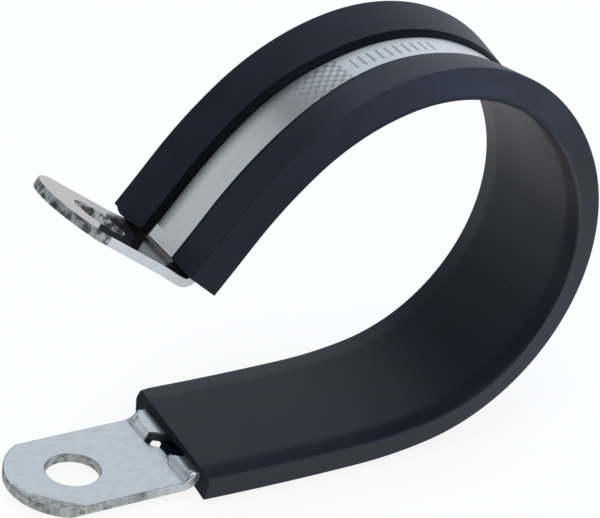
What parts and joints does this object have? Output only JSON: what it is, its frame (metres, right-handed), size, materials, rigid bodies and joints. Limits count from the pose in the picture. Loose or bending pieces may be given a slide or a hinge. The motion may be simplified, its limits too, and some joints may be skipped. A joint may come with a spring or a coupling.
{
  "type": "rubber lined p clip",
  "caption": "Open P-shaped cable and pipe clip: a bent flat steel strip with a round-ended, drilled tab at each end, gripped along its loop by a C-section rubber liner.",
  "frame": {"origin": "centre of the lower fixing hole, on the tab's mounting face", "axes": "+Z along the fixing bolt, away from the surface the lower tab is fixed to; +X from the hole towards the loop; Y is the axis of the loop, the way the pipe or cable runs"},
  "size_m": [0.0766, 0.0208, 0.0567],
  "materials": {
    "steel": "bright zinc plated strip, sheared edges",
    "rubber": "smooth matt black extrusion"
  },
  "bodies": {
    "root": {"steel_band": "steel", "rubber_liner": "rubber"}
  },
  "joints": []
}
